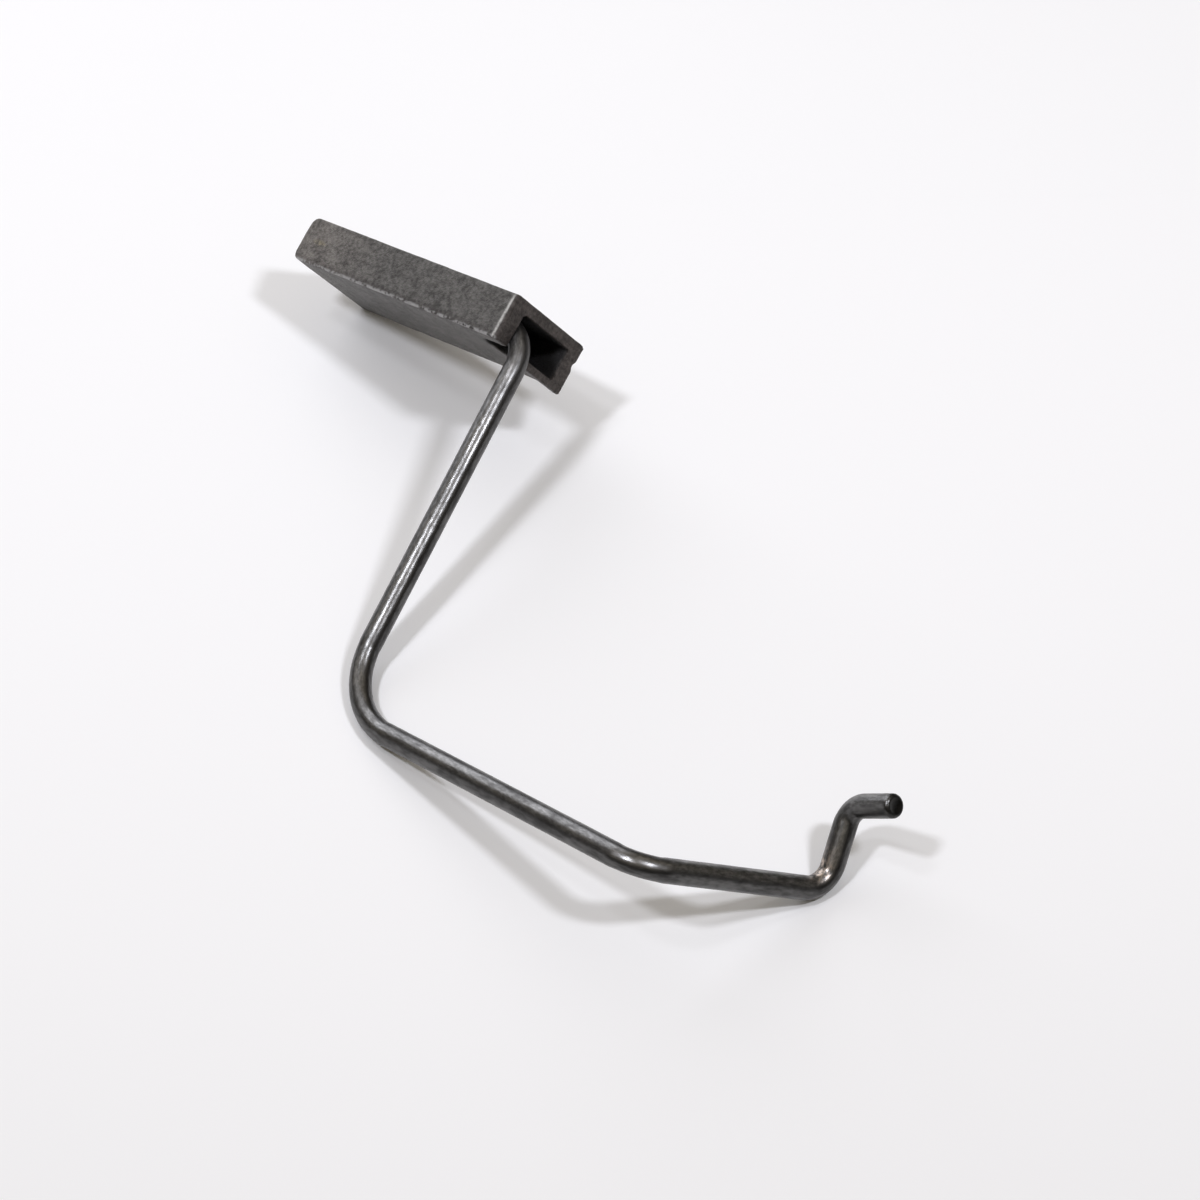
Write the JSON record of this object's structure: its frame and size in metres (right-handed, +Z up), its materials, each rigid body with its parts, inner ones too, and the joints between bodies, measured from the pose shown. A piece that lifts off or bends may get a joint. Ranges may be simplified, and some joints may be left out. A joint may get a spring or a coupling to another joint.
{
  "type": "bent wire form with an end block",
  "caption": "Cranked round steel wire with a hooked tip, its other end bent out of the slot of a small rectangular steel block; a lever or retaining spring form.",
  "frame": {"origin": "centre of the bounding box, at the level of the table it lies on", "axes": "+Z up from the table, +Y the long way of the lying part towards the block, +X towards the hooked tip"},
  "size_m": [0.0518, 0.075, 0.0183],
  "materials": {
    "wire_steel": "worn black oxide with bare streaks",
    "block_steel": "speckled dark matte with bright worn edges"
  },
  "bodies": {
    "root": {"wire_form": "wire_steel", "end_block": "block_steel"}
  },
  "joints": []
}
